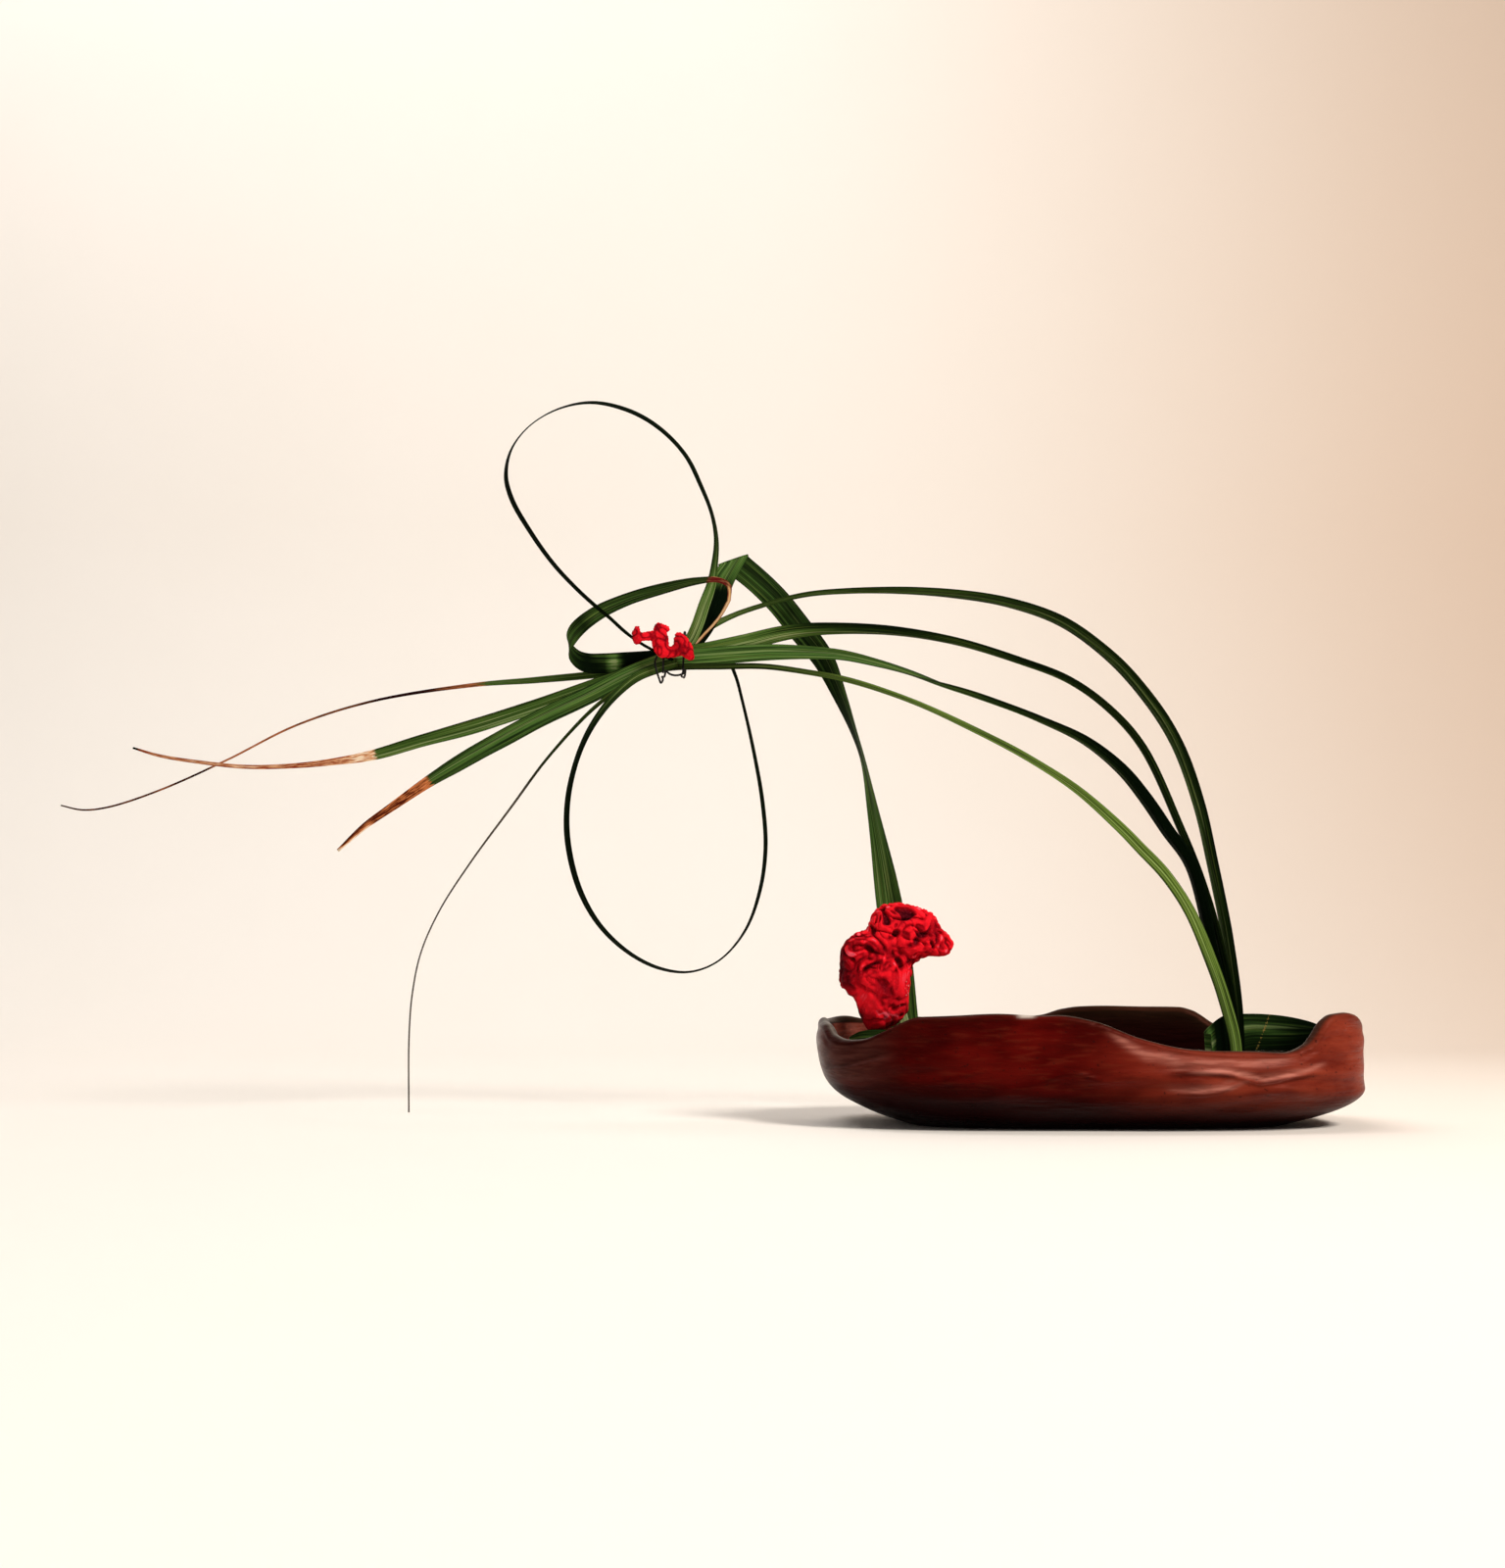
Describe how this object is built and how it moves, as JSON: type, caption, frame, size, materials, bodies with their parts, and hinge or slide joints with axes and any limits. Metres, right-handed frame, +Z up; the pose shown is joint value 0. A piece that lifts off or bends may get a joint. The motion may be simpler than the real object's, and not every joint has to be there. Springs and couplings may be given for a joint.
{
  "type": "ikebana arrangement",
  "caption": "Low boat-shaped glazed bowl of water holding arched strap leaves tied in a fan, two open leaf loops and a cockscomb bloom.",
  "frame": {"origin": "middle of the bowl's foot, on the table", "axes": "+X to the right along the bowl, +Y away from the viewer, +Z up"},
  "size_m": [0.8792, 0.1878, 0.5],
  "materials": {
    "bowl_glaze": "satin oxblood glaze, darker towards the foot",
    "water": "clear still water",
    "pins": "dull brass pins on a heavy base",
    "leaf_dark": "dark green strap leaf, satin, brown at the dry tip",
    "leaf_green": "mid green strap leaf with fine parallel veins",
    "leaf_bright": "yellow-green strap leaf",
    "crest": "velvety crimson, ruffled",
    "stem": "pale green ribbed stem",
    "wire": "black florist's wire"
  },
  "bodies": {
    "root": {"bowl": "bowl_glaze", "water": "water", "pin_holder_right": "pins", "pin_holder_left": "pins", "leaf_arch_top": "leaf_dark", "leaf_arch_second": "leaf_dark", "leaf_arch_third": "leaf_green", "leaf_arch_low": "leaf_bright", "leaf_folded": "leaf_green", "leaf_loop_upper": "leaf_dark", "leaf_loop_lower": "leaf_dark", "leaf_collar_right": "leaf_green", "leaf_collar_left": "leaf_green", "cockscomb_head": "crest", "cockscomb_stem": "stem", "cockscomb_sprig": "crest", "tie_wire_left": "wire", "tie_wire_right": "wire"}
  },
  "joints": []
}
